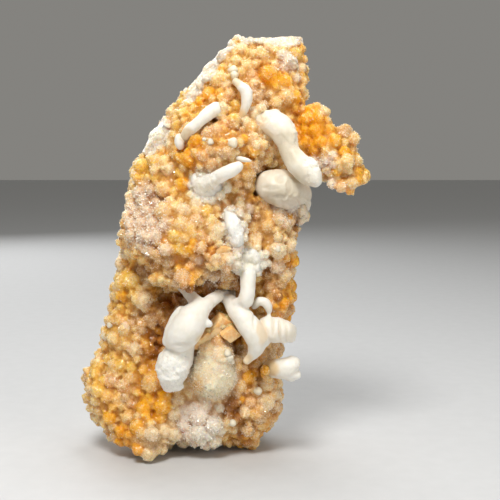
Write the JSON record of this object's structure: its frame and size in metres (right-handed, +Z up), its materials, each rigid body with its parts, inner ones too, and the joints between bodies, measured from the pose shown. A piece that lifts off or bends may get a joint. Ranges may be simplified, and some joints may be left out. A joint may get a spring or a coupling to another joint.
{
  "type": "flos ferri aragonite specimen",
  "caption": "Upright mineral hand specimen: smooth white coral-like aragonite limbs on stone with an orange, sugary, grape-like crust, broken pale behind, standing on worn flat lumps.",
  "frame": {"origin": "middle of the footprint of the whole specimen, on the surface that it stands on", "axes": "+Z up along the specimen's longest extent, the crusted front with the limbs towards -Y, the side branch towards +X"},
  "size_m": [0.0614, 0.0404, 0.088],
  "materials": {
    "crust": "sugary grape-like crust, honey to orange, slightly translucent, with frosted white patches and a chalky white broken back",
    "aragonite": "smooth porcelain white, softly translucent"
  },
  "bodies": {
    "root": {"crusted_stone": "crust", "left_trunk": "aragonite", "left_trunk_near_arm": "aragonite", "left_trunk_far_arm": "aragonite", "right_stem": "aragonite", "right_spindle": "aragonite", "right_swirl": "aragonite", "right_curl": "aragonite", "low_right_finger": "aragonite", "low_right_thumb": "aragonite", "big_finger": "aragonite", "big_knob": "aragonite", "arched_finger": "aragonite", "high_finger": "aragonite", "middle_finger": "aragonite", "frosted_rib": "aragonite", "bead_under_arch": "aragonite", "needle": "aragonite"}
  },
  "joints": []
}
